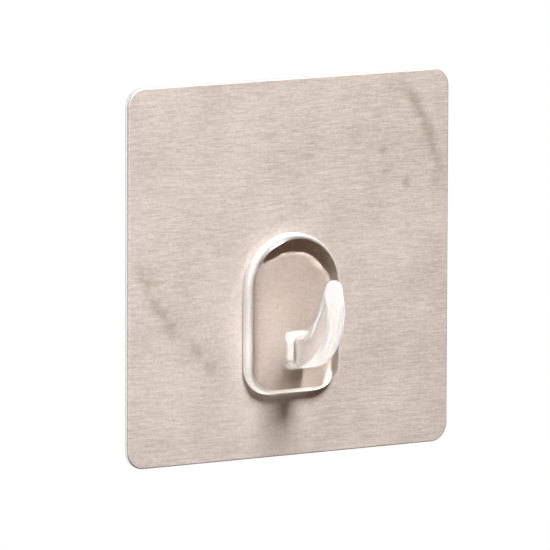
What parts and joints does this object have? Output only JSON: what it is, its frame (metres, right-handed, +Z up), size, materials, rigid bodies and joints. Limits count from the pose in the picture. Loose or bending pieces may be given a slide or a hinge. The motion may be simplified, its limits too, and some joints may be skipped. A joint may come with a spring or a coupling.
{
  "type": "adhesive wall hook",
  "caption": "Square brushed metal plate with a clear moulded hook bonded to its front and a film-covered adhesive sheet behind, for hanging light things on a smooth wall.",
  "frame": {"origin": "middle of the back face, the side that goes to the wall", "axes": "+Z up, +Y into the wall, +X to the right as seen from the room; the hook stands out along -Y"},
  "size_m": [0.07, 0.0176, 0.07],
  "materials": {
    "brushed_plate": "fine horizontal brushing, warm champagne tone",
    "gel_adhesive": "clear soft acrylic gel, slightly hazy",
    "peel_film": "thin translucent polyester film",
    "clear_bond": "clear cured adhesive",
    "clear_moulding": "polished clear polycarbonate"
  },
  "bodies": {
    "hook_and_plate": {"hook": "clear_moulding", "hook_bond": "clear_bond", "face_plate": "brushed_plate", "adhesive_sheet": "gel_adhesive"},
    "film": {"release_liner": "peel_film"}
  },
  "joints": [
    {"name": "liner_peel", "type": "slide", "parent": "hook_and_plate", "child": "film", "axis": [0, 1, 0], "range_m": [0, 0.03]}
  ]
}
